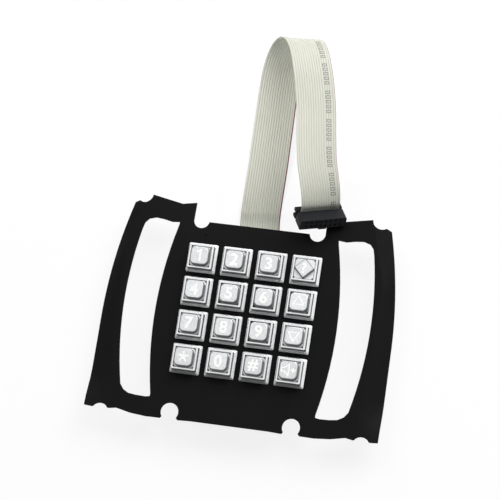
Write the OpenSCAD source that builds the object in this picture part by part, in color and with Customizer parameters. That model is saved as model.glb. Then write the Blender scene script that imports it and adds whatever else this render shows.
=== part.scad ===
// Sixteen-key metal keypad on a thin black mask with a window in each wing, and its ribbon cable.
// Millimetres. X runs to the right of the keys, Y up them, and Z out of their front.
// The keypad lies on its rear cover at Z = 0, and the cable lies behind its top edge.

/* [Keys] */
// Distance between key columns
pitch_x = 17.8; // [17:0.1:19]
// Distance between key rows
pitch_y = 17.35; // [17:0.05:19]
// Travel of a key
key_travel = 1.5; // [1:0.1:1.5]
// Side of a key's square skirt
skirt_w = 10; // [9.9:0.1:10.2]
// Corner radius of the skirt
skirt_r = 1; // [0.5:0.1:1.2]
// Side of the raised pad on a key
pad_w = 9.7; // [9:0.1:9.8]
// Height of the raised pad above its skirt
pad_h = 3.2; // [2:0.1:4]
// Corner radius of the pad at its foot
pad_r = 2.7; // [2:0.1:3.5]

/* [Collars] */
// Height of a collar above the mask
collar_h = 5.1; // [4:0.1:9]
// Outer side of a collar at the mask
collar_foot_w = 15; // [14:0.1:15]
// Outer side of a collar at its rim
collar_rim_w = 12.6; // [12.4:0.1:13.4]
// Height of a collar's upright wall, below its rim
upright_h = 3.7; // [3:0.1:4]
// Side of the square bore that a key slides in
bore_w = 10.5; // [10.4:0.1:10.9]

/* [Mask] */
// Thickness of the mask sheet
mask_t = 1.5; // [1:0.1:2]
// How far the outer edge of each wing bends back
wing_drop = 4.2; // [0:0.1:6]
// Side of the square hole round a collar
mask_hole_w = 15.3; // [15.2:0.1:15.5]

/* [Housing] */
// Width of the bezel plate behind the mask
bezel_w = 72; // [70:1:74]
// Thickness of the bezel plate
bezel_t = 4; // [4:0.1:5]
// Depth of the rear cover, from its floor to the bezel plate
cover_depth = 10.5; // [10.5:0.1:14]
// Thickness of the rear cover's steel
cover_t = 1.2; // [1:0.1:1.5]

/* [Ribbon cable] */
// Width of the ribbon
ribbon_w = 20.3; // [19:0.1:21]
// Thickness of the ribbon
ribbon_t = 0.9; // [0.7:0.1:1]
// Number of conductors, two to each pair of contacts
conductors = 16; // [16]

/* [Hidden] */
KEYS = [
    ["key_1", 0, 0], ["key_2", 1, 0], ["key_3", 2, 0], ["key_help", 3, 0],
    ["key_4", 0, 1], ["key_5", 1, 1], ["key_6", 2, 1], ["key_up", 3, 1],
    ["key_7", 0, 2], ["key_8", 1, 2], ["key_9", 2, 2], ["key_down", 3, 2],
    ["key_star", 0, 3], ["key_0", 1, 3], ["key_hash", 2, 3], ["key_volume", 3, 3]
];

$fn = 48;
eps = 0.01;

// Levels, from the floor up
board_t = 1.6;
web_t = 1;
board_z = cover_depth - web_t - board_t;
web_z = board_z + board_t;
bezel_top = cover_depth + bezel_t;
mask_top = bezel_top + mask_t;
rim_z = mask_top + collar_h;
skirt_top = rim_z - 0.3;

// Places of the keys, and of the screws where four keys meet
grid_y = 0.6;
function key_x(col) = (col - 1.5) * pitch_x;
function key_y(row) = grid_y + (1.5 - row) * pitch_y;
SCREWS = [for (sx = [-1, 1], sy = [-1, 1]) [sx * pitch_x, grid_y + sy * pitch_y]];

// Key foot, and the recess in the bezel that it is held in
flange_w = 12.2;
flange_t = 1.2;
recess_w = 12.8;
recess_gap = 0.1;
flange_z = cover_depth + key_travel + 0.4;
recess_top = flange_z + flange_t + recess_gap;

// Bezel plate and its rear fixing holes
bezel_y0 = -45;
bezel_y1 = 40.2;
fix_x = 31;
fix_y = [-41.2, 37.2];
fix_r = 1.25;
fix_depth = 3;

// Board, rubber mat and the tray of the rear cover
board_w = 66;
board_h = 63.2;
cover_gap = 0.5;
cover_w = board_w + 2 * (cover_gap + cover_t);
cover_h = board_h + 2 * (cover_gap + cover_t);
cup_r = 3;
cup_t = 1.2;
screw_r = 1.2;
screw_head_r = 2.3;
screw_head_h = 1.6;

// Domes of the rubber mat and the contacts below them
dome_foot_r = 4.4;
dome_top_r = 3;
dome_wall = 0.7;
dome_top = flange_z - 0.1;
pill_r = 1.5;
pill_t = 0.4;

// Cable sockets, at the board and on the free end
contact_pitch = 2.54;
socket_l = 24.4;
socket_d = 7;
socket_t = 5.8;
clamp_d = 3.2;
slot_w = 1.1;
board_socket_y0 = 24.6;
board_socket_y1 = 31;
ribbon_z = 4.8;

// The free socket's slot mouth, where the ribbon comes out of it, and the socket's turn
socket_at = [30.4, 57.1, 23.8];
socket_turn = [-31, 25, 18];

// Route of the ribbon's middle: X, Y, Z, turn of its width about Z, and lean of its right edge
ROUTE = [
    [0, 31, 4.8, 0, 0], [0, 37, 4.8, 0, 0], [-1.1, 43, 4, 0, 1], [-2.4, 49, 2, 0, 4],
    [-2.9, 56, 2, 0, 7], [-2.9, 64, 2.6, 0, 9], [-2.7, 73, 3.6, 0, 10], [-2.5, 82, 4.8, 0, 12],
    [-2.5, 92, 5.8, 0, 15], [-2.5, 102, 6.4, 0, 17], [-2.6, 112, 6.8, 0, 19], [-2.7, 121, 7, 0, 21],
    [-2.4, 129, 7.6, 1, 23], [-0.9, 136.6, 9.8, 4, 24], [1.9, 142.2, 14, 7, 25], [5.8, 144.8, 19.2, 9, 26],
    [9.9, 143, 24.2, 10, 25], [13.6, 137.2, 27.9, 10, 24], [16.7, 128.8, 29.7, 10, 23], [19.4, 119, 30, 10, 22],
    [21.9, 107, 29.6, 10, 21], [24.1, 92.9, 29.8, 11, 21], [26.2, 80.8, 30, 13, 21], [28.5, 72.2, 29.8, 15, 22],
    [30.2, 65.4, 28.8, 17, 23], [31, 59.3, 26.5, 18, 25], [30.4, 57.1, 23.8, 18, 25],
    [29.7, 54.9, 21, 18, 25]
];
rings_per_step = 3;

// Edges of the mask that follow wide arcs: crown of the arc, then its radius
outer_crown = [74.5, -10];
outer_r = 240;
window_outer_crown = [63.3, 2];
window_outer_r = 193;
window_inner_crown = [46.5, -3.5];
window_inner_r = 195;
wing_root_x = 57;

// Round cuts in the mask's edge, right half: centre and radius
CUTS = [[29.9, 46.2, 4.1], [61, 56.6, 4.2], [66.6, -57.3, 4.5], [31, -52.8, 4.6]];

function lerp(a, b, t) = a + (b - a) * t;
function clamp01(t) = min(1, max(0, t));
function smooth01(t) = clamp01(t) * clamp01(t) * (3 - 2 * clamp01(t));

// X of a wide arc at height y
function arc_x(crown, r, y) = crown[0] - pow(y - crown[1], 2) / (2 * r);

// Points along a wide arc from y1 to y2
function arc_points(crown, r, y1, y2, n) =
    [for (i = [0:n]) let (y = lerp(y1, y2, i / n)) [arc_x(crown, r, y), y]];

// Right half of the mask's outline, from the top middle to the bottom middle
RIGHT_EDGE = concat(
    [[0, 45.6], [34, 45.6], [34, 46.2], [33.8, 54.8], [41, 53.5], [56.9, 56.5], [63.7, 53.5]],
    arc_points(outer_crown, outer_r, 52.4, outer_crown[1], 14),
    [[74.9, -54.7], [71.2, -55], [61.9, -54.8], [58.5, -54.2], [51, -55.8], [43, -56.5], [36.1, -56.4],
     [26, -56.4], [20, -56.1], [0, -56.1]]
);

// Window of the right wing
WINDOW = concat(
    [[40.9, 44.1], [45, 43.7], [49.4, 44.6], [53.6, 45], [57, 44], [59, 41.7]],
    arc_points(window_outer_crown, window_outer_r, 38, -41.7, 14),
    [[56.4, -44.3], [53.4, -46], [49.5, -46.5], [44.5, -46.7], [42.2, -46.3]],
    arc_points(window_inner_crown, window_inner_r, -44.9, 42, 14)
);

// Flare at the mouth of the bottom notch
FLARE = [[25.8, -57.4], [27.4, -55.2], [34.6, -55.2], [36.4, -57.4]];

function mirrored(points) = [for (i = [len(points) - 1:-1:0]) [-points[i][0], points[i][1]]];

// Bend of the wing: the crease line runs down and outwards from the upper corner
function crease_x(y) = y > 25 ? lerp(65.5, 57.5, (y - 25) / 31) : lerp(61.9, 65.5, (y + 35) / 60);
function bend_power(y) = lerp(1.6, 1, smooth01((y - 20) / 20));
function drop_at(y) = wing_drop * smooth01((y + 54.7) / 19.7);
BEND_STEPS = [0, 0.24, 0.48, 0.74, 1.06];
bend_rows = 24;
bend_reach = 60;

// A point of the wing's front face, for column i and height y
function wing_point(i, y) =
    i == 0 ? [wing_root_x, y, 0]
    : let (u = BEND_STEPS[i - 1], c = max(wing_root_x + 0.4, crease_x(y)))
      [lerp(c, arc_x(outer_crown, outer_r, max(y, -20)) + 0.2, u), y, -drop_at(y) * pow(u, bend_power(y))];

module mask_outline() {
    difference() {
        polygon(concat(RIGHT_EDGE, mirrored(RIGHT_EDGE)));
        for (s = [-1, 1]) {
            for (c = CUTS) translate([s * c[0], c[1]]) circle(r = c[2]);
            polygon([for (p = WINDOW) [s * p[0], p[1]]]);
            polygon([for (p = FLARE) [s * p[0], p[1]]]);
        }
    }
}

// Sheet of one wing before it is cut to the outline: a bent slab of the mask's thickness
module wing_slab() {
    cols = len(BEND_STEPS) + 1;
    rows = bend_rows + 1;
    layer = cols * rows;
    front = [for (j = [0:bend_rows], i = [0:cols - 1])
        wing_point(i, lerp(-bend_reach, bend_reach, j / bend_rows))];
    points = concat(
        [for (p = front) p + [0, 0, mask_t]],
        front
    );
    function at(i, j) = j * cols + i;
    faces = concat(
        [for (j = [0:rows - 2], i = [0:cols - 2], f = [
            [at(i, j), at(i, j + 1), at(i + 1, j + 1)],
            [at(i, j), at(i + 1, j + 1), at(i + 1, j)],
            [layer + at(i, j), layer + at(i + 1, j + 1), layer + at(i, j + 1)],
            [layer + at(i, j), layer + at(i + 1, j), layer + at(i + 1, j + 1)]
        ]) f],
        [for (j = [0:rows - 2], i = [0, cols - 1], f = i == 0
            ? [[at(i, j), layer + at(i, j), layer + at(i, j + 1)],
               [at(i, j), layer + at(i, j + 1), at(i, j + 1)]]
            : [[at(i, j), layer + at(i, j + 1), layer + at(i, j)],
               [at(i, j), at(i, j + 1), layer + at(i, j + 1)]]) f],
        [for (i = [0:cols - 2], j = [0, rows - 1], f = j == 0
            ? [[at(i, j), layer + at(i + 1, j), layer + at(i, j)],
               [at(i, j), at(i + 1, j), layer + at(i + 1, j)]]
            : [[at(i, j), layer + at(i, j), layer + at(i + 1, j)],
               [at(i, j), layer + at(i + 1, j), at(i + 1, j)]]) f]
    );
    polyhedron(points, faces, convexity = 4);
}

// Black mask: a flat body round the keys, and two windowed wings whose outer strips bend back
module wing_mask() {
    color([0.1, 0.1, 0.1]) translate([0, 0, bezel_top]) {
        difference() {
            linear_extrude(mask_t) intersection() {
                mask_outline();
                square([2 * wing_root_x, 2 * bend_reach], center = true);
            }
            for (k = KEYS) translate([key_x(k[1]), key_y(k[2]), mask_t / 2])
                cube([mask_hole_w, mask_hole_w, 2 * mask_t], center = true);
            translate([-26.6, 38.5, mask_t - 0.5]) cylinder(h = 1, r = 0.5);
        }
        for (s = [0, 1]) mirror([s, 0, 0]) intersection() {
            wing_slab();
            translate([0, 0, -10]) linear_extrude(20) intersection() {
                mask_outline();
                translate([wing_root_x, -bend_reach]) square([20, 2 * bend_reach]);
            }
        }
    }
}

module rounded_square(w, h, r) {
    square([w - 2 * r, h], center = true);
    square([w, h - 2 * r], center = true);
    for (sx = [-1, 1], sy = [-1, 1]) translate([sx * (w / 2 - r), sy * (h / 2 - r)]) circle(r = r);
}

// Bar with the section of a collar: a foot inside the mask, a sloping shoulder and an upright wall
module collar_bar(foot_w, rim_w) {
    h = mask_t + collar_h;
    shoulder = h - upright_h;
    rotate([90, 0, 0]) linear_extrude(2 * foot_w, center = true) polygon([
        [-foot_w / 2, 0], [foot_w / 2, 0], [foot_w / 2, mask_t], [rim_w / 2, shoulder], [rim_w / 2, h],
        [-rim_w / 2, h], [-rim_w / 2, shoulder], [-foot_w / 2, mask_t]
    ]);
}

// Outside of one collar: four sides, and four more that break its corners
module collar() {
    corner_break = 0.7;
    intersection_for (a = [0:45:135]) {
        spread = a % 90 == 0 ? 1 : sqrt(2);
        trim = a % 90 == 0 ? 0 : corner_break;
        rotate(a) collar_bar(spread * collar_foot_w - trim, spread * collar_rim_w - trim);
    }
}

// Cast bezel: the plate behind the mask with a collar round each key
module key_bezel() {
    color([0.8, 0.81, 0.82]) difference() {
        union() {
            translate([0, (bezel_y0 + bezel_y1) / 2, cover_depth]) linear_extrude(bezel_t)
                rounded_square(bezel_w, bezel_y1 - bezel_y0, 3);
            for (k = KEYS) translate([key_x(k[1]), key_y(k[2]), bezel_top]) collar();
        }
        for (k = KEYS) translate([key_x(k[1]), key_y(k[2]), 0]) {
            translate([-bore_w / 2, -bore_w / 2, cover_depth]) cube([bore_w, bore_w, 40]);
            translate([-recess_w / 2, -recess_w / 2, cover_depth - 1])
                cube([recess_w, recess_w, recess_top - cover_depth + 1]);
        }
        for (p = SCREWS) translate([p[0], p[1], cover_depth - 1]) cylinder(h = 3.9, r = screw_r + 0.1);
        for (sx = [-1, 1], y = fix_y) translate([sx * fix_x, y, cover_depth - 1])
            cylinder(h = fix_depth + 1, r = fix_r);
    }
}

// Straight-sided pad with round corners, narrowing evenly by the same amount all round
module pad_stage(w, r, shrink, h) {
    c = w / 2 - r;
    for (a = [0, 90]) rotate(a) rotate([90, 0, 0]) linear_extrude(2 * c, center = true) polygon([
        [-w / 2, 0], [w / 2, 0], [w / 2 - shrink, h], [shrink - w / 2, h]
    ]);
    for (sx = [-1, 1], sy = [-1, 1]) translate([sx * c, sy * c, 0]) cylinder(h = h, r1 = r, r2 = r - shrink);
}

// Raised pad: a slightly drafted wall and a broken top edge
module key_pad(w, r, h) {
    draft = 0.2;
    edge = 0.5;
    pad_stage(w, r, draft, h - edge);
    translate([0, 0, h - edge]) pad_stage(w - 2 * draft, r - draft, edge, edge);
}

// One metal key: foot flange, square skirt and raised pad, which is turned a half square on the help key
module key(k) {
    diamond_w = 7.6;
    diamond_r = 0.8;
    diamond_h = 2;
    color([0.83, 0.84, 0.85]) translate([key_x(k[1]), key_y(k[2]), 0]) {
        translate([-flange_w / 2, -flange_w / 2, flange_z]) cube([flange_w, flange_w, flange_t]);
        translate([0, 0, flange_z]) linear_extrude(skirt_top - flange_z) rounded_square(skirt_w, skirt_w, skirt_r);
        translate([0, 0, skirt_top - eps]) {
            if (k[0] == "key_help") rotate(45) key_pad(diamond_w, diamond_r, diamond_h);
            else key_pad(pad_w, pad_r, pad_h);
        }
    }
}

// Rubber mat with a dome under each key
module dome_mat() {
    color([0.35, 0.37, 0.38]) difference() {
        union() {
            translate([0, grid_y, web_z]) linear_extrude(web_t) rounded_square(board_w, board_h, 2);
            for (k = KEYS) translate([key_x(k[1]), key_y(k[2]), web_z])
                cylinder(h = dome_top - web_z, r1 = dome_foot_r, r2 = dome_top_r);
        }
        for (k = KEYS) translate([key_x(k[1]), key_y(k[2]), web_z - eps])
            cylinder(
                h = dome_top - dome_wall - web_z, r1 = dome_foot_r - dome_wall, r2 = dome_top_r - dome_wall
            );
        for (p = SCREWS) translate([p[0], p[1], web_z - 1]) cylinder(h = 3, r = 1.6);
    }
}

// Conductive pill under the crown of each dome
module carbon_pills() {
    pill_z = dome_top - dome_wall - eps - pill_t;
    color([0.08, 0.08, 0.08]) for (k = KEYS)
        translate([key_x(k[1]), key_y(k[2]), pill_z]) cylinder(h = pill_t, r = pill_r);
}

// Pair of half-round contact pads under each pill
module contact_pads() {
    pad_gap = 0.5;
    color([0.85, 0.68, 0.3]) for (k = KEYS) translate([key_x(k[1]), key_y(k[2]), web_z]) difference() {
        cylinder(h = 0.1, r = 2.6);
        translate([-3, -pad_gap / 2, -1]) cube([6, pad_gap, 2]);
    }
}

// Circuit board
module circuit_board() {
    color([0.1, 0.35, 0.2]) difference() {
        translate([0, grid_y, board_z]) linear_extrude(board_t) rounded_square(board_w, board_h, 2);
        for (p = SCREWS) translate([p[0], p[1], board_z - 1]) cylinder(h = 4, r = 1.5);
    }
}

// Pressed steel rear cover: a tray with four screw cups and a slot for the ribbon
module rear_cover() {
    slot_h = 2;
    color([0.7, 0.71, 0.72]) translate([0, grid_y, 0]) difference() {
        union() {
            difference() {
                linear_extrude(cover_depth) rounded_square(cover_w, cover_h, 2.5);
                translate([0, 0, cover_t]) linear_extrude(cover_depth)
                    rounded_square(cover_w - 2 * cover_t, cover_h - 2 * cover_t, 1.3);
            }
            for (p = SCREWS) translate([p[0], p[1] - grid_y, 0]) cylinder(h = board_z, r = cup_r + cup_t);
        }
        for (p = SCREWS) translate([p[0], p[1] - grid_y, -1]) {
            cylinder(h = board_z - cup_t + 1, r = cup_r);
            cylinder(h = board_z + 2, r = 1.4);
        }
        translate([-ribbon_w / 2 - 0.6, cover_h / 2 - 2, ribbon_z - slot_h / 2])
            cube([ribbon_w + 1.2, 4, slot_h]);
    }
}

// Screws that hold the cover, the board and the mat to the bezel
module cover_screws() {
    head_z = board_z - cup_t - screw_head_h;
    color([0.6, 0.6, 0.62]) for (p = SCREWS) translate([p[0], p[1], head_z]) difference() {
        union() {
            cylinder(h = screw_head_h, r = screw_head_r);
            cylinder(h = 7.8, r = screw_r);
        }
        for (a = [0, 90]) rotate(a) cube([2.6, 0.6, 1.6], center = true);
    }
}

// Socket on the back of the board, and the clamp that presses the ribbon into it
module board_socket() {
    color([0.12, 0.12, 0.14]) translate([-socket_l / 2, board_socket_y0, ribbon_z + slot_w / 2])
        cube([socket_l, board_socket_y1 - board_socket_y0, board_z - ribbon_z - slot_w / 2]);
}

module board_socket_clamp() {
    clamp_t = 2.6;
    color([0.12, 0.12, 0.14]) difference() {
        translate([-socket_l / 2, board_socket_y0, ribbon_z - slot_w / 2 - clamp_t])
            cube([socket_l, board_socket_y1 - board_socket_y0, clamp_t + slot_w]);
        translate([-ribbon_w / 2 - 0.2, board_socket_y0 - 1, ribbon_z - slot_w / 2])
            cube([ribbon_w + 0.4, 10, 5]);
    }
}

// Route of the ribbon, smoothed between its points
function route_at(i, t) = let (
        a = ROUTE[max(i - 1, 0)], b = ROUTE[i], c = ROUTE[min(i + 1, len(ROUTE) - 1)],
        d = ROUTE[min(i + 2, len(ROUTE) - 1)]
    ) 0.5 * (2 * b + (c - a) * t + (2 * a - 5 * b + 4 * c - d) * t * t + (3 * b - a - 3 * c + d) * t * t * t);
RINGS = [for (i = [0:len(ROUTE) - 2], k = [0:rings_per_step - 1]) route_at(i, k / rings_per_step)];
ALL_RINGS = concat(RINGS, [ROUTE[len(ROUTE) - 1]]);

function unit(v) = v / norm(v);
function middle(r) = [r[0], r[1], r[2]];
function ring(i) = ALL_RINGS[min(max(i, 0), len(ALL_RINGS) - 1)];
function heading(i) = unit(middle(ring(i + 1)) - middle(ring(i - 1)));
function raw_across(r) = [cos(r[4]) * cos(r[3]), cos(r[4]) * sin(r[3]), -sin(r[4])];
function across(i) = let (a = raw_across(ALL_RINGS[i]), h = heading(i)) unit(a - (a * h) * h);

// Section of the ribbon, a flat bar with its edges broken
ribbon_edge = 0.25;
SECTION = [
    [-ribbon_w / 2, -ribbon_t / 2 + ribbon_edge], [-ribbon_w / 2 + ribbon_edge, -ribbon_t / 2],
    [ribbon_w / 2 - ribbon_edge, -ribbon_t / 2], [ribbon_w / 2, -ribbon_t / 2 + ribbon_edge],
    [ribbon_w / 2, ribbon_t / 2 - ribbon_edge], [ribbon_w / 2 - ribbon_edge, ribbon_t / 2],
    [-ribbon_w / 2 + ribbon_edge, ribbon_t / 2], [-ribbon_w / 2, ribbon_t / 2 - ribbon_edge]
];

// Ribbon cable, one band from the board's socket to the free socket
module ribbon_cable() {
    n = len(SECTION);
    last = len(ALL_RINGS) - 1;
    points = [for (i = [0:last], p = SECTION)
        middle(ALL_RINGS[i]) + p[0] * across(i) + p[1] * cross(across(i), heading(i))];
    faces = concat(
        [[for (k = [n - 1:-1:0]) k]],
        [for (i = [0:last - 1], k = [0:n - 1], f = [
            [i * n + k, i * n + (k + 1) % n, (i + 1) * n + (k + 1) % n],
            [i * n + k, (i + 1) * n + (k + 1) % n, (i + 1) * n + k]
        ]) f],
        [[for (k = [0:n - 1]) last * n + k]]
    );
    color([0.76, 0.76, 0.7]) polyhedron(points, faces, convexity = 6);
}

// Places of the contact holes in the free socket's face: eight across in two rows
CONTACT_X = [for (i = [0:conductors / 2 - 1]) (i - (conductors / 2 - 1) / 2) * contact_pitch];
CONTACT_Z = [for (j = [-1, 1]) -socket_t / 2 + j * contact_pitch / 2];

// Places a piece of the free socket: its slot mouth at the origin, contacts facing -Y, front +Z
module at_socket() {
    translate(socket_at) rotate(socket_turn) translate([0, -slot_w / 2, 0]) children();
}

// Free socket: a body with two rows of contact holes, a key on its back and a groove for each conductor
module cable_socket() {
    hole_w = 1;
    hole_depth = 5;
    groove_r = 0.5;
    conductor_pitch = contact_pitch / 2;
    front_break = 0.8;
    color([0.15, 0.15, 0.18]) at_socket() difference() {
        union() {
            rotate([90, 0, 0]) linear_extrude(socket_d) polygon([
                [-socket_l / 2, -socket_t], [socket_l / 2, -socket_t],
                [socket_l / 2, -front_break], [socket_l / 2 - front_break, 0],
                [front_break - socket_l / 2, 0], [-socket_l / 2, -front_break]
            ]);
            translate([-2.1, -socket_d, -socket_t - 0.8]) cube([4.2, 4, 1]);
        }
        for (x = CONTACT_X, z = CONTACT_Z) translate([x, -socket_d, z])
            cube([hole_w, 2 * hole_depth, hole_w], center = true);
        for (i = [0:conductors - 1])
            translate([(i - (conductors - 1) / 2) * conductor_pitch, 0.12, -socket_t - 1])
                cylinder(h = 8, r = groove_r);
    }
}

// Clamp behind the ribbon, with a notch in each end
module cable_socket_clamp() {
    color([0.13, 0.13, 0.16]) at_socket() difference() {
        translate([-socket_l / 2, slot_w, -socket_t]) cube([socket_l, clamp_d, socket_t - 0.4]);
        for (s = [-1, 1]) translate([s * socket_l / 2, slot_w + clamp_d / 2, -socket_t / 2 - 0.2])
            cube([2.4, 2 * clamp_d, 1.8], center = true);
    }
}

// Contact blades in the holes of the free socket
module socket_contacts() {
    color([0.85, 0.7, 0.35]) at_socket()
        for (x = CONTACT_X, z = CONTACT_Z) translate([x, -3.9, z]) cube([0.6, 3, 0.3], center = true);
}

for (k = KEYS) key(k);
wing_mask();
key_bezel();
dome_mat();
carbon_pills();
contact_pads();
circuit_board();
rear_cover();
cover_screws();
board_socket();
board_socket_clamp();
ribbon_cable();
cable_socket();
cable_socket_clamp();
socket_contacts();
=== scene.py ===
"""Sixteen-key metal keypad on a black winged mask, with its ribbon cable: looks, light and camera.

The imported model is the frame. Lengths are metres.
X runs to the right of the keys, Y up them, and Z out of their front.
"""

import math

import bpy
from mathutils import Euler, Matrix, Vector


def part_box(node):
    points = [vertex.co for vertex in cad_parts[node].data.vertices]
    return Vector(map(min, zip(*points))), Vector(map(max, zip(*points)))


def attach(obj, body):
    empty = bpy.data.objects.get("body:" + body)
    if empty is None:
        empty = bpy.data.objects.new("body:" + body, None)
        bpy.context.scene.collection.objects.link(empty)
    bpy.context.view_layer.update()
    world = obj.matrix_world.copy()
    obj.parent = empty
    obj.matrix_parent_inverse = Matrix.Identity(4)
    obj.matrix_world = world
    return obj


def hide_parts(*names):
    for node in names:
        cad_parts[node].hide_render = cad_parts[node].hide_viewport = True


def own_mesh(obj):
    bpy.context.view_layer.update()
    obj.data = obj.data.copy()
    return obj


bl_info = {
    "name": "Metal keypad with winged mask",
    "version": (1, 0, 0),
    "blender": (4, 5, 0),
    "location": "View3D > Sidebar > Keypad",
    "description": "Finishes the keypad's pieces, makes its ribbon cable and legends, and lights it",
    "category": "Object",
}

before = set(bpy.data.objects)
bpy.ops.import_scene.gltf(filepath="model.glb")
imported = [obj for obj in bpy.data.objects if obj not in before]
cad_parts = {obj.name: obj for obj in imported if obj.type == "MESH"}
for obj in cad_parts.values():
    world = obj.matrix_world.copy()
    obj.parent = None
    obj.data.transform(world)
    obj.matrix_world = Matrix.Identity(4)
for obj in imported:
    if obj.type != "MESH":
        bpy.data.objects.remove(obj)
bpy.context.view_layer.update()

MM = 0.001
KEY_PITCH_X = 17.8 * MM
KEY_PITCH_Y = 17.35 * MM

# Corners of loose triangles that are nearer than this are one corner
MERGE = 0.002 * MM

# Number of the last column and of the last row of keys, counted from 0
LAST = 3

# Keys by name: column, row and the sign on the pad
KEYS = {
    "key_1": (0, 0, "1"), "key_2": (1, 0, "2"), "key_3": (2, 0, "3"), "key_help": (3, 0, "?"),
    "key_4": (0, 1, "4"), "key_5": (1, 1, "5"), "key_6": (2, 1, "6"), "key_up": (3, 1, "up"),
    "key_7": (0, 2, "7"), "key_8": (1, 2, "8"), "key_9": (2, 2, "9"), "key_down": (3, 2, "down"),
    "key_star": (0, 3, "*"), "key_0": (1, 3, "0"), "key_hash": (2, 3, "#"), "key_volume": (3, 3, "volume"),
}

# Signs made of straight strokes, in millimetres: width of the line, then the ends of each stroke
STAR_REACH = 2.4
STAR_TURNS = [math.radians(a) for a in range(90, 450, 72)]
SPEAKER = [(-3.4, -0.9), (-3.4, 0.9), (-2, 0.9), (0.3, 2.9), (0.3, -2.9), (-2, -0.9), (-3.4, -0.9)]
PLUS = [((1.6, 0), (3.4, 0)), ((2.5, -0.9), (2.5, 0.9))]
STROKES = {
    "1": (1.0, [((0.4, -2.5), (0.4, 2.5)), ((0.2, 2.3), (-0.9, 1.9))]),
    "*": (0.95, [((0, 0), (STAR_REACH * math.cos(a), STAR_REACH * math.sin(a))) for a in STAR_TURNS]),
    "volume": (0.7, list(zip(SPEAKER, SPEAKER[1:])) + PLUS),
}

# Each stroke of a sign lies this much above the one before it, so that no two faces share a plane
STROKE_LIFT = 0.001 * MM

# How much a character's outline grows, as a share of the type's size
BOLDNESS = 0.032

# Route of the ribbon's middle: X, Y and Z in millimetres, then in degrees the turn of its width about Z
# and the lean of its right edge
RIBBON_ROUTE = [
    (0, 31, 4.8, 0, 0), (0, 37, 4.8, 0, 0), (-1.1, 43, 4, 0, 1), (-2.4, 49, 2, 0, 4),
    (-2.9, 56, 2, 0, 7), (-2.9, 64, 2.6, 0, 9), (-2.7, 73, 3.6, 0, 10), (-2.5, 82, 4.8, 0, 12),
    (-2.5, 92, 5.8, 0, 15), (-2.5, 102, 6.4, 0, 17), (-2.6, 112, 6.8, 0, 19), (-2.7, 121, 7, 0, 21),
    (-2.4, 129, 7.6, 1, 23), (-0.9, 136.6, 9.8, 4, 24), (1.9, 142.2, 14, 7, 25),
    (5.8, 144.8, 19.2, 9, 26), (9.9, 143, 24.2, 10, 25), (13.6, 137.2, 27.9, 10, 24),
    (16.7, 128.8, 29.7, 10, 23), (19.4, 119, 30, 10, 22), (21.9, 107, 29.6, 10, 21),
    (24.1, 92.9, 29.8, 11, 21), (26.2, 80.8, 30, 13, 21), (28.5, 72.2, 29.8, 15, 22),
    (30.2, 65.4, 28.8, 17, 23), (31, 59.3, 26.5, 18, 25), (30.4, 57.1, 23.8, 18, 25),
    (29.7, 54.9, 21, 18, 25),
]
RINGS_PER_STEP = 6
CONDUCTORS = 16

# Where the red starts on the inner and on the outer side, counted in conductors from the left
RED_FROM = 15.5
RED_FROM_OUTSIDE = 15.8

# Added to the share of the width in the UV of the outer side
OUTSIDE = 2

# Camera of the photograph: place, turn in degrees about X, Y and Z, and lens in millimetres
CAMERA_PLACE = (0.224345, -0.203309, 1.233045)
CAMERA_TURN = (12.3231, 8.8037, 8.7828)
CAMERA_LENS = 180

# Soft square lamps, turned to the keypad: place, side and power
LAMPS = {
    "Key lamp": ((0.85, 1.5, 1.4), 1.5, 55),
    "Fill lamp": ((-0.75, 1.3, 1.56), 1.2, 17),
}

# Narrow lamp for the ribbon's bend: the place that it lights, the way from there back to it, its power,
# and its angle in degrees
RIBBON_LAMP_TARGET = (-0.002, 0.108, 0.008)
RIBBON_LAMP_WAY = (-0.64, -0.704, 0.8576)
RIBBON_LAMP_POWER = 58
RIBBON_LAMP_ANGLE = 5

# The surround's light grows along Y: from where to where, and from which level to which
SURROUND_SPAN = (-0.6, 0.6)
SURROUND_LEVELS = (0.05, 0.42)

# Side of the floor, and how far the camera sees it as white
FLOOR_SIDE = 8
FLOOR_WHITENESS = 0.85


def colour_setting(name, description, default):
    return bpy.props.FloatVectorProperty(
        name=name, description=description, default=default, size=3, min=0, max=1, subtype="COLOR"
    )


def length_setting(name, description, default):
    return bpy.props.FloatProperty(
        name=name, description=description, default=default, min=0, unit="LENGTH", subtype="DISTANCE"
    )


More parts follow.
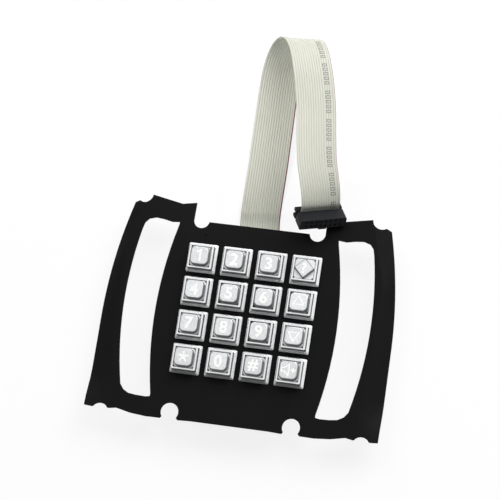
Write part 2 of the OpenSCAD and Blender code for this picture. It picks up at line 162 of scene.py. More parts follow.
class KeypadSizes(bpy.types.PropertyGroup):
    """Sizes that a maker would change."""

    ribbon_width: length_setting("Ribbon width", "Width of the ribbon over all its conductors", 20.3 * MM)
    ribbon_thickness: length_setting("Ribbon thickness", "Thickness of the ribbon at a conductor", 0.9 * MM)
    ribbon_web: length_setting("Ribbon web", "Thickness of the ribbon between two conductors", 0.5 * MM)
    ribbon_length: length_setting("Ribbon length", "Length from socket to socket", 224.5 * MM)
    legend_height: length_setting("Legend height", "Height of a digit on a key", 6.2 * MM)
    question_height: length_setting("Question height", "Height of the question mark", 5.4 * MM)
    legend_depth: length_setting("Legend depth", "Depth of a filled legend", 0.15 * MM)
    legend_rise: length_setting("Legend rise", "Height of the filled legend above the pad", 0.03 * MM)
    sign_side: length_setting("Sign side", "Side of an arrow sign", 6.5 * MM)
    sign_line: length_setting("Sign line", "Width of the line of an arrow sign", 0.75 * MM)
    key_travel: length_setting("Key travel", "How far a key goes down", 1.5 * MM)
    key_ledge: length_setting("Key ledge", "How far a key's skirt stands below the rim", 0.3 * MM)
    upright_wall: length_setting("Upright wall", "Height of a collar's upright wall", 3.7 * MM)
    rim_edge: length_setting("Rim edge", "Width of the broken edges of the collars", 0.2 * MM)
    key_edge: length_setting("Key edge", "Width of the broken edges of the keys", 0.16 * MM)
    mask_edge: length_setting("Mask edge", "Width of the broken edges of the mask", 0.2 * MM)
    socket_edge: length_setting("Socket edge", "Width of the broken edges of the socket", 0.12 * MM)
    clamp_edge: length_setting("Clamp edge", "Width of the broken edges of the socket's clamp", 0.2 * MM)
    cover_edge: length_setting("Cover edge", "Width of the round edges of the rear cover", 0.25 * MM)
    screw_edge: length_setting("Screw edge", "Width of the broken edges of the screws", 0.1 * MM)


class KeypadColours(bpy.types.PropertyGroup):
    """Colours of the finishes."""

    mask: colour_setting("Mask", "Black paint of the mask", (0.0035, 0.0035, 0.0038))
    rim: colour_setting("Rim", "Polished rims of the collars", (0.74, 0.75, 0.76))
    # The wall colour is dark to paint the shade on the upright walls of the collars and the pads
    wall: colour_setting("Wall", "Dull unpolished walls of the collars and the pads", (0.2, 0.203, 0.207))
    flank: colour_setting("Flank", "Blasted shoulders of the collars", (0.94, 0.945, 0.95))
    key: colour_setting("Key", "Satin metal of the keys", (0.53, 0.542, 0.547))
    legend: colour_setting("Legend", "White filling of the legends", (0.88, 0.88, 0.865))
    ribbon: colour_setting("Ribbon", "Grey sheath of the ribbon", (0.47, 0.475, 0.41))
    ribbon_edge: colour_setting("Ribbon edge", "Dark red first conductor", (0.17, 0.04, 0.07))
    ribbon_ink: colour_setting("Ribbon ink", "Grey ink of the length marks", (0.16, 0.16, 0.15))
    socket: colour_setting("Socket", "Moulding of the cable sockets", (0.007, 0.0075, 0.0095))
    contact: colour_setting("Contact", "Gold of the contacts", (0.78, 0.56, 0.2))
    rubber: colour_setting("Rubber", "Silicone of the mat", (0.2, 0.22, 0.23))
    carbon: colour_setting("Carbon", "Carbon pills under the domes", (0.01, 0.01, 0.01))
    board: colour_setting("Board", "Solder mask of the board", (0.015, 0.14, 0.05))
    steel: colour_setting("Steel", "Plated steel of the rear cover and screws", (0.62, 0.63, 0.64))
    floor: colour_setting("Floor", "Pale floor", (0.88, 0.88, 0.88))


# Helpers for the node trees of the finishes and the surround


class NodeTree:
    """Short ways to add nodes to a tree."""

    def __init__(self, tree):
        self.tree = tree

    def node(self, kind, **settings):
        made = self.tree.nodes.new(kind)
        for key, value in settings.items():
            setattr(made, key, value)
        return made

    def link(self, source, target):
        self.tree.links.new(source, target)

    def axis(self, vector, which):
        split = self.node("ShaderNodeSeparateXYZ")
        self.link(vector, split.inputs[0])
        return split.outputs[which]

    def noise(self, vector, scale, detail, roughness=0.55):
        made = self.node("ShaderNodeTexNoise")
        made.inputs["Scale"].default_value = scale
        made.inputs["Detail"].default_value = detail
        made.inputs["Roughness"].default_value = roughness
        self.link(vector, made.inputs["Vector"])
        return made.outputs["Fac"]

    def stretched(self, vector, scale):
        made = self.node("ShaderNodeMapping")
        made.inputs["Scale"].default_value = scale
        self.link(vector, made.inputs["Vector"])
        return made.outputs["Vector"]

    def math(self, operation, a, b=0.0):
        made = self.node("ShaderNodeMath", operation=operation)
        for socket, value in zip(made.inputs, (a, b)):
            if isinstance(value, (int, float)):
                socket.default_value = value
            else:
                self.link(value, socket)
        return made.outputs[0]

    def span(self, value, low, high, to_low=0.0, to_high=1.0):
        made = self.node("ShaderNodeMapRange", clamp=True)
        for socket, number in zip(list(made.inputs)[1:5], (low, high, to_low, to_high)):
            socket.default_value = number
        self.link(value, made.inputs[0])
        return made.outputs[0]

    def mix(self, factor, a, b):
        made = self.node("ShaderNodeMix", data_type="RGBA")
        self.link(factor, made.inputs[0])
        for socket, value in zip((made.inputs[6], made.inputs[7]), (a, b)):
            if hasattr(value, "is_output"):
                self.link(value, socket)
            else:
                socket.default_value = (*value[:3], 1)
        return made.outputs[2]


class Finish(NodeTree):
    """A material with one shader."""

    def __init__(self, name):
        self.material = bpy.data.materials.new(name)
        self.material.use_nodes = True
        super().__init__(self.material.node_tree)
        self.shader = self.tree.nodes["Principled BSDF"]

    def set(self, **values):
        for key, value in values.items():
            self.shader.inputs[key.replace("_", " ")].default_value = value

    def place(self):
        """Object coordinates, the same as the row frame because every piece's place is in its mesh."""
        return self.node("ShaderNodeTexCoord").outputs["Object"]

    def uv(self):
        return self.node("ShaderNodeUVMap", uv_map="ribbon").outputs["UV"]

    def beside_key(self, place, low, high, right=0.0, up=0.0):
        """0 within low of the nearest key's middle and 1 beyond high of it, along X and along Y."""
        first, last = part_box("key_1")
        sides = []
        for which, middle, pitch in (
            ("X", (first.x + last.x) / 2 + right, KEY_PITCH_X),
            ("Y", (first.y + last.y) / 2 + up, KEY_PITCH_Y),
        ):
            steps = self.math("MULTIPLY", self.math("SUBTRACT", self.axis(place, which), middle), 1 / pitch)
            lane = self.math("FRACT", self.math("ADD", steps, 0.5))
            away = self.math("ABSOLUTE", self.math("SUBTRACT", lane, 0.5))
            sides.append(self.span(away, low / pitch, high / pitch))
        return sides

    def colour(self, value):
        self.link(value, self.shader.inputs["Base Color"])

    def rough(self, value):
        self.link(value, self.shader.inputs["Roughness"])

    def bump(self, height, distance, strength):
        made = self.node("ShaderNodeBump")
        made.inputs["Strength"].default_value = strength
        made.inputs["Distance"].default_value = distance
        self.link(height, made.inputs["Height"])
        self.link(made.outputs["Normal"], self.shader.inputs["Normal"])


def shade(colour, factor):
    """A colour made lighter or darker."""
    return tuple(min(1.0, c * factor) for c in colour[:3])


def black_paint(colour):
    """Fine powder coat with a soft grain and faint cloudiness."""
    f = Finish("mask_black")
    place = f.place()
    cloud = f.noise(place, 60, 4)
    grain = f.noise(place, 2600, 2)
    f.colour(f.mix(cloud, shade(colour, 0.8), shade(colour, 1.3)))
    f.rough(f.span(cloud, 0.3, 0.7, 0.5, 0.6))
    f.set(Specular_IOR_Level=0.06)
    f.bump(grain, 0.03 * MM, 0.5)
    return f.material


def collar_metal(rim, wall, flank, rim_z, shoulder_z):
    """Zinc casting: polished rims, rough upright walls darkened with painted shade, and blasted shoulders
    and plate.
    """
    f = Finish("bezel_metal")
    place = f.place()
    height = f.axis(place, "Z")
    above = f.span(height, shoulder_z - 0.1 * MM, shoulder_z + 0.05 * MM)
    top = f.span(height, rim_z - 0.13 * MM, rim_z - 0.04 * MM)
    # The polish ends just inside the rim's outer edge, and reaches a little further on the right and above
    outer = f.math("MAXIMUM", *f.beside_key(place, 6.12 * MM, 6.2 * MM, right=0.12 * MM, up=0.17 * MM))
    polished = f.math("MULTIPLY", top, f.math("SUBTRACT", 1, outer))
    fine = f.noise(place, 3000, 2)
    lines = f.noise(f.stretched(place, (300, 6000, 300)), 1, 2)
    cast = f.mix(fine, shade(flank, 0.92), shade(flank, 1.05))
    # Painted shade: the upright walls, and the rim's edge outside the polish, take the dark wall colour
    shaded_wall = f.mix(fine, shade(wall, 0.85), shade(wall, 1.1))
    bright = f.mix(lines, shade(rim, 0.95), shade(rim, 1.03))
    f.colour(f.mix(above, cast, f.mix(polished, shaded_wall, bright)))
    f.link(f.math("MAXIMUM", polished, f.math("MULTIPLY", above, 0.5)), f.shader.inputs["Metallic"])
    f.rough(f.span(polished, 0, 1, 0.8, 0.25))
    f.set(Specular_IOR_Level=0.03)
    f.bump(fine, 0.01 * MM, 0.4)
    return f.material


def key_metal(name, colour, wall_shade_colour, ledge_z, top_z):
    """Satin metal, mottled and a little different from key to key, with painted shade round the pad."""
    f = Finish(name)
    place = f.place()
    batch = f.noise(place, 45, 1)
    mottle = f.noise(place, 1100, 3, 0.7)
    speck = f.noise(place, 2500, 2)
    plain = f.mix(f.span(batch, 0.3, 0.7), shade(colour, 1.1), shade(colour, 0.93))
    mottled = f.mix(f.span(mottle, 0.35, 0.75, 0, 0.45), plain, shade(colour, 0.55))
    height = f.axis(place, "Z")
    # Painted shade: the wall of the pad up into its top edge, and the corners of the ledge, take the wall
    # colour
    above = f.span(height, ledge_z + 0.05 * MM, ledge_z + 0.15 * MM)
    below = f.span(height, top_z - 0.3 * MM, top_z - 0.15 * MM, 1, 0)
    corner = f.math("MULTIPLY", *f.beside_key(place, 4.1 * MM, 4.4 * MM))
    painted_shade = f.math("MULTIPLY", f.math("MAXIMUM", above, corner), below)
    f.colour(f.mix(painted_shade, mottled, wall_shade_colour))
    f.link(f.span(painted_shade, 0, 1, 0.9, 0.5), f.shader.inputs["Metallic"])
    f.rough(f.span(speck, 0.3, 0.7, 0.38, 0.5))
    f.set(Specular_IOR_Level=0.05)
    f.bump(speck, 0.012 * MM, 0.5)
    return f.material


def white_enamel(colour):
    """White filling, very slightly uneven."""
    f = Finish("key_legend")
    place = f.place()
    f.colour(f.mix(f.noise(place, 1500, 2), shade(colour, 0.96), shade(colour, 1.04)))
    f.set(Roughness=0.45)
    return f.material


def ribbon_sheath(colour, ink, width):
    """Grey vinyl with painted shade in the valleys between the conductors, and a row of plain length marks.
    """
    f = Finish("ribbon_grey")
    place = f.place()
    uv = f.uv()
    across = f.axis(uv, "X")
    along = f.axis(uv, "Y")
    lane = f.math("FRACT", f.math("MULTIPLY", across, CONDUCTORS))
    valley = f.math("ABSOLUTE", f.math("SUBTRACT", lane, 0.5))
    line = f.span(valley, 0.28, 0.5)
    cloud = f.noise(place, 90, 3)
    base = f.mix(cloud, shade(colour, 0.95), shade(colour, 1.04))
    # Painted shade in the valleys between the conductors
    valley_shaded = f.mix(f.math("MULTIPLY", line, 0.55), base, shade(colour, 0.62))
    marks = length_marks(f, across, along, width)
    f.colour(f.mix(f.math("MULTIPLY", marks, 0.85), valley_shaded, ink))
    f.set(Roughness=0.48, Specular_IOR_Level=0.35)
    f.bump(f.noise(place, 1800, 2), 0.01 * MM, 0.3)
    return f.material


def length_marks(f, across, along, width):
    """Small open boxes in groups on the outer side of the ribbon."""
    pitch, half_long, half_wide, line = 2.4 * MM, 0.85 * MM, 1.25 * MM, 0.48 * MM
    # Middle of the row as a share of the width; boxes to a group, and the part of the group that is printed
    row_middle = OUTSIDE + 0.815
    group, printed = 6, 0.82
    cell = f.math("FRACT", f.math("MULTIPLY", along, 1 / pitch))
    from_middle = f.math("ABSOLUTE", f.math("SUBTRACT", cell, 0.5))
    from_row = f.math("ABSOLUTE", f.math("SUBTRACT", across, row_middle))

    def box(long, wide):
        near = f.math("LESS_THAN", from_middle, long / pitch)
        return f.math("MULTIPLY", near, f.math("LESS_THAN", from_row, wide / width))

    ring = f.math("SUBTRACT", box(half_long, half_wide), box(half_long - line, half_wide - line))
    part = f.math("FRACT", f.math("MULTIPLY", along, 1 / (group * pitch)))
    return f.math("MULTIPLY", ring, f.math("LESS_THAN", part, printed))


def coloured_vinyl(colour, sheath):
    """Red on the inner side of the edge conductor, and only a thin line of it on the outer side."""
    f = Finish("ribbon_edge")
    place = f.place()
    across = f.axis(f.uv(), "X")
    outside = f.math("GREATER_THAN", across, OUTSIDE - 0.5)
    before_red = f.math("LESS_THAN", across, OUTSIDE + RED_FROM_OUTSIDE / CONDUCTORS)
    plain = f.math("MULTIPLY", outside, before_red)
    red = f.mix(f.noise(place, 120, 3), shade(colour, 0.85), shade(colour, 1.15))
    f.colour(f.mix(plain, red, sheath))
    f.set(Roughness=0.45, Specular_IOR_Level=0.35)
    f.bump(f.noise(place, 1800, 2), 0.01 * MM, 0.3)
    return f.material


def moulded_plastic(name, colour, roughness=0.42):
    """Glass-filled moulding with a fine eroded grain."""
    f = Finish(name)
    place = f.place()
    cloud = f.noise(place, 200, 3)
    f.colour(f.mix(cloud, shade(colour, 0.8), shade(colour, 1.25)))
    f.rough(f.span(cloud, 0.3, 0.7, roughness - 0.05, roughness + 0.08))
    f.set(Specular_IOR_Level=0.13)
    f.bump(f.noise(place, 3500, 2), 0.02 * MM, 0.4)
    return f.material


def plated_metal(name, colour, roughness):
    """Plated metal with faint drawing lines and clouded plating."""
    f = Finish(name)
    place = f.place()
    cloud = f.noise(place, 80, 4)
    lines = f.noise(f.stretched(place, (150, 4500, 150)), 1, 2)
    f.colour(f.mix(cloud, shade(colour, 0.9), shade(colour, 1.08)))
    f.set(Metallic=1.0)
    f.rough(f.span(lines, 0.3, 0.7, roughness - 0.06, roughness + 0.1))
    f.bump(lines, 0.01 * MM, 0.3)
    return f.material


def silicone(colour):
    """Matt rubber with a fine grain."""
    f = Finish("mat_rubber")
    place = f.place()
    f.colour(f.mix(f.noise(place, 150, 3), shade(colour, 0.9), shade(colour, 1.1)))
    f.set(Roughness=0.6)
    f.bump(f.noise(place, 2200, 2), 0.02 * MM, 0.4)
    return f.material


def solder_mask(colour):
    """Green board with a faint weave of its glass cloth."""
    f = Finish("board_green")
    place = f.place()
    weave = f.node("ShaderNodeTexChecker")
    weave.inputs["Scale"].default_value = 1600
    f.link(place, weave.inputs["Vector"])
    f.colour(f.mix(f.math("MULTIPLY", weave.outputs["Fac"], 0.35), colour, shade(colour, 1.5)))
    f.set(Roughness=0.3)
    f.bump(f.noise(place, 1500, 2), 0.01 * MM, 0.3)
    return f.material


# Helpers for the pieces


def select_only(piece):
    bpy.ops.object.select_all(action="DESELECT")
    piece.select_set(True)
    bpy.context.view_layer.objects.active = piece


def give(piece, material, body="base"):
    """Finish, slot and body of a piece whose place is in its mesh."""
    piece.data.materials.clear()
    piece.data.materials.append(material)
    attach(piece, body)


def refinish(node, material):
    """A CAD node keeps its shape and takes a better material."""
    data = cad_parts[node].data
    data.materials.clear()
    data.materials.append(material)


def merged_copy(node, name):
    """A copy of a CAD node with its loose triangles joined, selected all over in edit mode."""
    piece = bpy.data.objects.new(name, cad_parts[node].data.copy())
    bpy.context.scene.collection.objects.link(piece)
    select_only(piece)
    bpy.ops.object.mode_set(mode="EDIT")
    bpy.ops.mesh.select_mode(type="VERT")
    bpy.ops.mesh.select_all(action="SELECT")
    bpy.ops.mesh.remove_doubles(threshold=MERGE)
    return piece


def finished_copy(node, name, edge, segments=2):
    """A copy of a CAD node with its sharp edges broken, which stands for the node."""
    piece = merged_copy(node, name)
    bpy.ops.mesh.dissolve_limited(angle_limit=math.radians(0.6))
    bpy.ops.object.mode_set(mode="OBJECT")
    bevel = piece.modifiers.new("Broken edges", "BEVEL")
    bevel.width = edge
    bevel.segments = segments
    bevel.limit_method = "ANGLE"
    bevel.angle_limit = math.radians(28)
    bpy.ops.object.modifier_apply(modifier=bevel.name)
    bpy.ops.object.shade_smooth_by_angle(angle=math.radians(32))
    weighted = piece.modifiers.new("Flat faces stay flat", "WEIGHTED_NORMAL")
    weighted.keep_sharp = True
    bpy.ops.object.modifier_apply(modifier=weighted.name)
    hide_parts(node)
    return piece


def under_key(node, name, key, column, row):
    """The part of a CAD node under one key, cut off halfway to the keys beside it."""
    low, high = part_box(key)
    piece = merged_copy(node, name)
    x, y = (low.x + high.x) / 2, (low.y + high.y) / 2
    gap = 0.01 * MM
    half_x, half_y = (KEY_PITCH_X - gap) / 2, (KEY_PITCH_Y - gap) / 2
    cuts = [
        (column > 0, (x - half_x, 0, 0), (-1, 0, 0)),
        (column < LAST, (x + half_x, 0, 0), (1, 0, 0)),
        (row > 0, (0, y + half_y, 0), (0, 1, 0)),
        (row < LAST, (0, y - half_y, 0), (0, -1, 0)),
    ]
    for has_neighbour, place, way in cuts:
        if has_neighbour:
            bpy.ops.mesh.select_all(action="SELECT")
            bpy.ops.mesh.bisect(plane_co=place, plane_no=way, use_fill=True, clear_outer=True)
    bpy.ops.object.mode_set(mode="OBJECT")
    bpy.ops.object.shade_smooth_by_angle(angle=math.radians(32))
    return piece


# Ribbon cable


def route_point(i, t):
    """Smooth curve through the route's points, from point i to the next."""
    last = len(RIBBON_ROUTE) - 1
    a, b, c, d = (RIBBON_ROUTE[min(max(k, 0), last)] for k in (i - 1, i, i + 1, i + 2))
    return [
        0.5 * (2 * q + (r - p) * t + (2 * p - 5 * q + 4 * r - s) * t * t + (3 * q - p - 3 * r + s) * t ** 3)
        for p, q, r, s in zip(a, b, c, d)
    ]


def ribbon_rings():
    """Middle, width direction and thickness direction of every ring of the ribbon, in metres."""
    steps = [(i, k / RINGS_PER_STEP) for i in range(len(RIBBON_ROUTE) - 1) for k in range(RINGS_PER_STEP)]
    points = [route_point(i, t) for i, t in steps] + [list(RIBBON_ROUTE[-1])]
    middles = [Vector(p[:3]) * MM for p in points]
    rings = []
    for n, p in enumerate(points):
        heading = (middles[min(n + 1, len(points) - 1)] - middles[max(n - 1, 0)]).normalized()
        turn, lean = math.radians(p[3]), math.radians(p[4])
        across = Vector((math.cos(lean) * math.cos(turn), math.cos(lean) * math.sin(turn), -math.sin(lean)))
        across = (across - across.dot(heading) * heading).normalized()
        rings.append((middles[n], across, across.cross(heading)))
    return rings


def ribbon_section(first, last, width, thick, web):
    """Upper outline from one conductor to another, as (place across, height, share of the width)."""
    # Round back of one conductor: share of its pitch, and of its height above the web
    profile = ((0.0, 0.0), (0.14, 0.62), (0.32, 0.94), (0.5, 1.0), (0.68, 0.94), (0.86, 0.62))
    lanes = [(k + share, rise) for k in range(CONDUCTORS) for share, rise in profile] + [(CONDUCTORS, 0.0)]
    return [
        (u / CONDUCTORS * width - width / 2, web / 2 + rise * (thick - web) / 2, u / CONDUCTORS)
        for u, rise in lanes
        if first <= u <= last
    ]


def ribbon_band(name, first, last, sizes):
    """Ribbed band from one conductor to another, swept along the route, with UV across and along it."""
    upper = ribbon_section(first, last, sizes.ribbon_width, sizes.ribbon_thickness, sizes.ribbon_web)
    section = upper + [(x, -h, u + OUTSIDE) for x, h, u in reversed(upper)]
    rings = ribbon_rings()
    count = len(section)
    verts, along = [], []
    travelled = 0.0
    for n, (middle, across, out) in enumerate(rings):
        if n:
            travelled += (middle - rings[n - 1][0]).length
        along.append(travelled)
        verts += [middle + x * across + h * out for x, h, _ in section]
    faces = [
        (n * count + k, n * count + (k + 1) % count, (n + 1) * count + (k + 1) % count, (n + 1) * count + k)
        for n in range(len(rings) - 1)
        for k in range(count)
    ]
    faces += [tuple(reversed(range(count))), tuple((len(rings) - 1) * count + k for k in range(count))]
    mesh = bpy.data.meshes.new(name)
    mesh.from_pydata(verts, [], faces)
    layer = mesh.uv_layers.new(name="ribbon")
    for loop in mesh.loops:
        ring, k = divmod(loop.vertex_index, count)
        layer.data[loop.index].uv = (section[k][2], along[ring])
    piece = bpy.data.objects.new(name, mesh)
    bpy.context.scene.collection.objects.link(piece)
    select_only(piece)
    bpy.ops.object.mode_set(mode="EDIT")
    bpy.ops.mesh.select_all(action="SELECT")
    bpy.ops.mesh.normals_make_consistent(inside=False)
    bpy.ops.object.mode_set(mode="OBJECT")
    bpy.ops.object.shade_smooth_by_angle(angle=math.radians(60))
    return piece


# Legends


def glyph(name, text, height):
    """A character as a flat mesh of that height, its middle at the origin."""
    bpy.ops.object.select_all(action="DESELECT")
    bpy.ops.object.text_add(location=(0, 0, 0))
    piece = bpy.context.object
    piece.name = name
    piece.data.body = text
    piece.data.size = 1
    piece.data.offset = BOLDNESS
    piece.data.resolution_u = 6
    bpy.ops.object.convert(target="MESH")
    xs = [v.co.x for v in piece.data.vertices]
    ys = [v.co.y for v in piece.data.vertices]
    scale = height / (max(ys) - min(ys))
    centre = Vector(((max(xs) + min(xs)) / 2, (max(ys) + min(ys)) / 2, 0))
    piece.data.transform(Matrix.Scale(scale, 4) @ Matrix.Translation(-centre))
    return piece


def arrow_sign(name, side, line, down):
    """Outline of an even triangle, pointing up or down."""
    radius = side / math.sqrt(3)
    bpy.ops.object.select_all(action="DESELECT")
    bpy.ops.mesh.primitive_circle_add(vertices=3, radius=radius, fill_type="NGON", location=(0, 0, 0))
    piece = bpy.context.object
    piece.name = name
    bpy.ops.object.mode_set(mode="EDIT")
    bpy.ops.mesh.select_mode(type="FACE")
    bpy.ops.mesh.select_all(action="SELECT")
    bpy.ops.mesh.inset(thickness=line)
    bpy.ops.mesh.delete(type="FACE")
    bpy.ops.object.mode_set(mode="OBJECT")
    if down:
        piece.data.transform(Matrix.Rotation(math.pi, 4, "Z"))
    return piece


def stroke(start, end, line, lift):
    """Flat bar from one point to another, in millimetres, with ends that reach half a line further."""
    run = Vector(end) - Vector(start)
    bpy.ops.mesh.primitive_plane_add(size=1, location=(0, 0, 0))
    piece = bpy.context.object
    middle = (Vector(start) + Vector(end)) / 2
    place = Matrix.Translation((middle.x * MM, middle.y * MM, lift))
    turn = Matrix.Rotation(math.atan2(run.y, run.x), 4, "Z")
    piece.data.transform(place @ turn @ Matrix.Diagonal(((run.length + line) * MM, line * MM, 1, 1)))
    return piece


def stroke_sign(name, sign):
    """A sign of straight strokes, joined."""
    bpy.ops.object.select_all(action="DESELECT")
    line, ends = STROKES[sign]
    parts = [stroke(start, end, line, STROKE_LIFT * n) for n, (start, end) in enumerate(ends)]
    for part in parts:
        part.select_set(True)
    bpy.context.view_layer.objects.active = parts[0]
    bpy.ops.object.join()
    parts[0].name = name
    return parts[0]


def raise_sign(piece, depth):
    """A flat sign becomes a solid of that depth, upwards from the floor of its cut."""
    select_only(piece)
    bpy.ops.object.mode_set(mode="EDIT")
    bpy.ops.mesh.select_mode(type="FACE")
    bpy.ops.mesh.select_all(action="SELECT")
    bpy.ops.mesh.remove_doubles(threshold=STROKE_LIFT / 2)
    bpy.ops.mesh.extrude_region_move(TRANSFORM_OT_translate={"value": (0, 0, depth)})
    bpy.ops.mesh.select_all(action="SELECT")
    bpy.ops.mesh.normals_make_consistent(inside=False)
    bpy.ops.object.mode_set(mode="OBJECT")
    bpy.ops.object.shade_flat()


# Operators, one for each piece or group of like pieces


class KEYPAD_OT_studio(bpy.types.Operator):
    """Camera, floor, lamps and surround"""

    bl_idname = "keypad.studio"
    bl_label = "Studio"

    def execute(self, context):
        scene = context.scene
        scene.view_settings.view_transform = "Standard"
        self.camera(scene)
        self.floor(scene.keypad_colours.floor)
        self.surround(scene)
        for name, (place, side, power) in LAMPS.items():
            data = bpy.data.lights.new(name, "AREA")
            data.size = side
            self.lamp(data, power, Vector(place), Vector(place))
        self.ribbon_lamp()
        return {"FINISHED"}

    def camera(self, scene):
        data = bpy.data.cameras.new("Camera")
        data.lens = CAMERA_LENS
        data.sensor_width = 36
        data.clip_end = 20
        camera = bpy.data.objects.new("Camera", data)
        turn = Euler([math.radians(angle) for angle in CAMERA_TURN])
        camera.matrix_world = Matrix.Translation(CAMERA_PLACE) @ turn.to_matrix().to_4x4()
        scene.collection.objects.link(camera)
        scene.camera = camera

    def floor(self, colour):
        """Pale floor that keeps the keypad's shadow and looks nearly white to the camera."""
        bpy.ops.object.select_all(action="DESELECT")
        bpy.ops.mesh.primitive_plane_add(size=FLOOR_SIDE, location=(0, 0, 0))
        floor = bpy.context.object
        floor.name = "Floor"
        f = Finish("pale_floor")
        f.set(Base_Color=(*colour, 1), Roughness=0.8, Specular_IOR_Level=0.1)
        rays = f.node("ShaderNodeLightPath")
        seen = f.math("MULTIPLY", rays.outputs["Is Camera Ray"], FLOOR_WHITENESS)
        glow = f.node("ShaderNodeEmission")
        both = f.node("ShaderNodeMixShader")
        f.link(seen, both.inputs[0])
        f.link(f.shader.outputs[0], both.inputs[1])
        f.link(glow.outputs[0], both.inputs[2])
        f.link(both.outputs[0], f.tree.nodes["Material Output"].inputs["Surface"])
        floor.data.materials.append(f.material)

    def surround(self, scene):
        """Pale room: white to the camera, to gloss and through glass, softer as a light."""
        scene.world = bpy.data.worlds.new("Studio")
        scene.world.use_nodes = True
        w = NodeTree(scene.world.node_tree)
        rays = w.node("ShaderNodeLightPath").outputs
        direct = w.math("MAXIMUM", rays["Is Camera Ray"], rays["Is Glossy Ray"])
        seen = w.math("MAXIMUM", direct, rays["Is Transmission Ray"])
        side = w.axis(w.node("ShaderNodeTexCoord").outputs["Generated"], "Y")
        soft = w.span(side, *SURROUND_SPAN, *SURROUND_LEVELS)
        back = w.tree.nodes["Background"]
        back.inputs["Color"].default_value = (1, 1, 1, 1)
        w.link(w.math("MAXIMUM", seen, soft), back.inputs["Strength"])

    def ribbon_lamp(self):
        """Narrow lamp for the inside of the ribbon's bend, which fades out before the keys."""
        data = bpy.data.lights.new("Ribbon lamp", "SPOT")
        data.spot_size = math.radians(RIBBON_LAMP_ANGLE)
        data.spot_blend = 1
        data.shadow_soft_size = 0.02
        way = Vector(RIBBON_LAMP_WAY)
        self.lamp(data, RIBBON_LAMP_POWER, Vector(RIBBON_LAMP_TARGET) + way, way)

    def lamp(self, data, power, place, way):
        """A lamp at its place, turned back along the way that leads to it."""
        data.energy = power
        lamp = bpy.data.objects.new(data.name, data)
        lamp.location = place
        lamp.rotation_euler = (-way).to_track_quat("-Z", "Y").to_euler()
        bpy.context.scene.collection.objects.link(lamp)


class KEYPAD_OT_cable(bpy.types.Operator):
    """Ribbon cable with its red first conductor, and the socket on its free end"""

    bl_idname = "keypad.cable"
    bl_label = "Ribbon cable"

    def execute(self, context):
        sizes, colours = context.scene.keypad_sizes, context.scene.keypad_colours
        ribbon = ribbon_band("ribbon", 0, RED_FROM, sizes)
        sheath = ribbon_sheath(colours.ribbon, colours.ribbon_ink, sizes.ribbon_width)
        give(ribbon, sheath)
        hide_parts("ribbon_cable")
        edge = ribbon_band("ribbon_red_edge", RED_FROM, CONDUCTORS, sizes)
        give(edge, coloured_vinyl(colours.ribbon_edge, colours.ribbon))
        plastic = moulded_plastic("socket_black", colours.socket)
        body = finished_copy("cable_socket", "free_socket", sizes.socket_edge)
        give(body, plastic)
        clamp = finished_copy("cable_socket_clamp", "free_socket_clamp", sizes.clamp_edge)
        give(clamp, plastic)
        refinish("board_socket", plastic)
        refinish("board_socket_clamp", plastic)
        refinish("socket_contacts", plated_metal("contact_gold", colours.contact, 0.3))
        return {"FINISHED"}


class KEYPAD_OT_mask(bpy.types.Operator):
    """Black mask with its windowed wings"""

    bl_idname = "keypad.mask"
    bl_label = "Mask"

    def execute(self, context):
        sizes, colours = context.scene.keypad_sizes, context.scene.keypad_colours
        mask = finished_copy("wing_mask", "mask", sizes.mask_edge)
        give(mask, black_paint(colours.mask))
        return {"FINISHED"}


class KEYPAD_OT_bezel(bpy.types.Operator):
    """Cast bezel with a collar round each key"""

    bl_idname = "keypad.bezel"
    bl_label = "Bezel"

    def execute(self, context):
        sizes, colours = context.scene.keypad_sizes, context.scene.keypad_colours
        bezel = finished_copy("key_bezel", "bezel", sizes.rim_edge)
        rim_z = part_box("key_bezel")[1].z
        shoulder_z = rim_z - sizes.upright_wall
        metal = collar_metal(colours.rim, colours.wall, colours.flank, rim_z, shoulder_z)
        give(bezel, metal)
        return {"FINISHED"}


class KEYPAD_OT_keys(bpy.types.Operator):
    """Sixteen metal keys with their white legends"""

    bl_idname = "keypad.keys"
    bl_label = "Keys and legends"

    def execute(self, context):
        sizes, colours = context.scene.keypad_sizes, context.scene.keypad_colours
        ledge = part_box("key_bezel")[1].z - sizes.key_ledge
        # The wall colour is the painted shade on the pads' walls and the corners of their ledges
        tone, wall = colours.key, colours.wall
        # The pad of the help key is lower than the others
        metal = key_metal("key_metal", tone, wall, ledge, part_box("key_1")[1].z)
        low_metal = key_metal("key_metal_help", tone, wall, ledge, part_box("key_help")[1].z)
        white = white_enamel(colours.legend)
        for node, (_, _, sign) in KEYS.items():
            key = finished_copy(node, node + "_cap", sizes.key_edge)
            give(key, low_metal if sign == "?" else metal, node + "_body")
            low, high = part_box(node)
            legend = self.legend(node + "_legend", sign, sizes)
            raise_sign(legend, sizes.legend_depth)
            foot = high.z + sizes.legend_rise - sizes.legend_depth
            place = ((low.x + high.x) / 2, (low.y + high.y) / 2, foot)
            legend.data.transform(Matrix.Translation(place))
            give(legend, white, node + "_body")
        return {"FINISHED"}

    def legend(self, name, sign, sizes):
        """The flat sign of a key: an arrow, a sign of strokes or a character."""
        if sign in ("up", "down"):
            return arrow_sign(name, sizes.sign_side, sizes.sign_line, sign == "down")
        if sign in STROKES:
            return stroke_sign(name, sign)
        return glyph(name, sign, sizes.question_height if sign == "?" else sizes.legend_height)


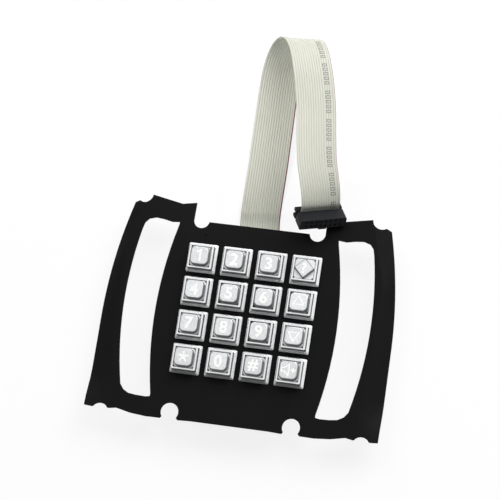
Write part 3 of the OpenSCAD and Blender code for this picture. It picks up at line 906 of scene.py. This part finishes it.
class KEYPAD_OT_inner_parts(bpy.types.Operator):
    """Rubber mat and pills, cut into one piece under each key, contact pads and circuit board"""

    bl_idname = "keypad.inner_parts"
    bl_label = "Mat and board"

    def execute(self, context):
        sizes, colours = context.scene.keypad_sizes, context.scene.keypad_colours
        rubber = silicone(colours.rubber)
        carbon = moulded_plastic("carbon", colours.carbon, 0.6)
        for key, (column, row, _) in KEYS.items():
            dome = under_key("dome_mat", key + "_dome", key, column, row)
            pill = under_key("carbon_pills", key + "_pill", key, column, row)
            give(dome, rubber)
            give(pill, carbon)
            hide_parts("dome_mat")
            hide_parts("carbon_pills")
            for piece in (dome, pill):
                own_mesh(piece)
        refinish("contact_pads", plated_metal("pad_gold", colours.contact, 0.3))
        refinish("circuit_board", solder_mask(colours.board))
        return {"FINISHED"}


class KEYPAD_OT_rear(bpy.types.Operator):
    """Steel rear cover and its screws"""

    bl_idname = "keypad.rear"
    bl_label = "Rear cover"

    def execute(self, context):
        sizes, colours = context.scene.keypad_sizes, context.scene.keypad_colours
        cover = finished_copy("rear_cover", "cover", sizes.cover_edge, 3)
        give(cover, plated_metal("cover_steel", colours.steel, 0.34))
        screws = finished_copy("cover_screws", "screws", sizes.screw_edge)
        give(screws, plated_metal("screw_steel", shade(colours.steel, 0.95), 0.28))
        return {"FINISHED"}


OPERATORS = (
    KEYPAD_OT_studio,
    KEYPAD_OT_cable,
    KEYPAD_OT_mask,
    KEYPAD_OT_bezel,
    KEYPAD_OT_keys,
    KEYPAD_OT_inner_parts,
    KEYPAD_OT_rear,
)


class KEYPAD_PT_panel(bpy.types.Panel):
    """Steps of the keypad in the sidebar"""

    bl_idname = "KEYPAD_PT_panel"
    bl_label = "Keypad"
    bl_space_type = "VIEW_3D"
    bl_region_type = "UI"
    bl_category = "Keypad"

    def draw(self, context):
        for operator in OPERATORS:
            self.layout.operator(operator.bl_idname)
        for group in (context.scene.keypad_sizes, context.scene.keypad_colours):
            box = self.layout.box()
            for name in group.bl_rna.properties.keys():
                if name not in ("rna_type", "name"):
                    box.prop(group, name)


CLASSES = (KeypadSizes, KeypadColours, *OPERATORS, KEYPAD_PT_panel)


def register():
    for cls in CLASSES:
        bpy.utils.register_class(cls)
    bpy.types.Scene.keypad_sizes = bpy.props.PointerProperty(type=KeypadSizes)
    bpy.types.Scene.keypad_colours = bpy.props.PointerProperty(type=KeypadColours)


def unregister():
    del bpy.types.Scene.keypad_colours
    del bpy.types.Scene.keypad_sizes
    for cls in reversed(CLASSES):
        bpy.utils.unregister_class(cls)


def main():
    register()
    bpy.ops.keypad.studio()
    bpy.ops.keypad.cable()
    bpy.ops.keypad.mask()
    bpy.ops.keypad.bezel()
    bpy.ops.keypad.keys()
    bpy.ops.keypad.inner_parts()
    bpy.ops.keypad.rear()


if __name__ == "__main__":
    main()
